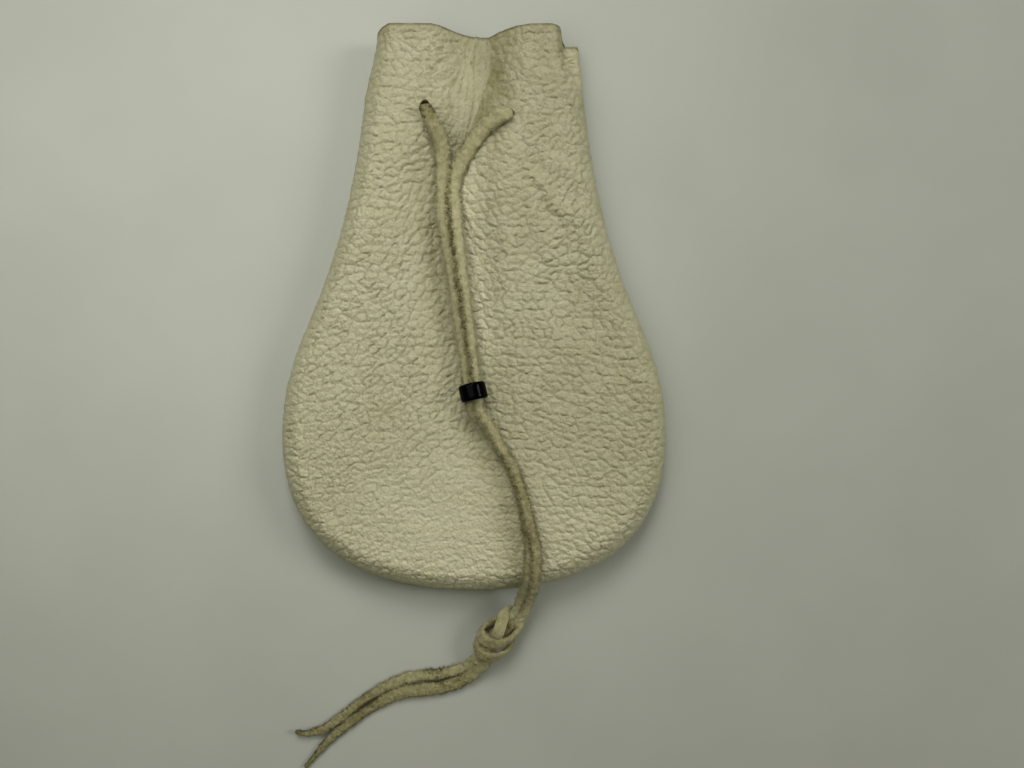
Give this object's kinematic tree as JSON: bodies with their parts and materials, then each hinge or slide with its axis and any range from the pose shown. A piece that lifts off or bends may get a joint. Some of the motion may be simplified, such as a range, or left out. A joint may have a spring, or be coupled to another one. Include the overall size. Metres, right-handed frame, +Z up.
{
  "type": "drawstring pouch",
  "caption": "Flat-lying grained leather pouch with a round belly and a narrow gathered mouth, closed by a doubled leather lace with a sliding bead and a knotted end.",
  "frame": {"origin": "on the table, under the middle of the two panels' box", "axes": "+Y from the round bottom to the mouth, +Z up out of the front panel, +X to the right as seen from above"},
  "size_m": [0.126, 0.2432, 0.0221],
  "materials": {
    "panel_leather": "cream pebble-grained soft leather, matt with a faint sheen",
    "lace_leather": "soiled suede lace, napped and matt",
    "seam_thread": "twisted sewing thread",
    "bead_glass": "opaque black, polished"
  },
  "bodies": {
    "pouch": {"front_panel": "panel_leather", "back_panel": "panel_leather", "seam_thread": "seam_thread", "lace_mouth_run": "lace_leather", "lace_left_strand": "lace_leather", "lace_right_strand": "lace_leather", "lace_tail_curled": "lace_leather", "lace_tail_thin": "lace_leather", "lace_knot": "lace_leather"},
    "bead": {"cord_bead": "bead_glass"}
  },
  "joints": [
    {"name": "bead_slide", "type": "slide", "parent": "pouch", "child": "bead", "axis": [-0.1395, 0.9877, -0.0707], "range_m": [0, 0.05]}
  ]
}
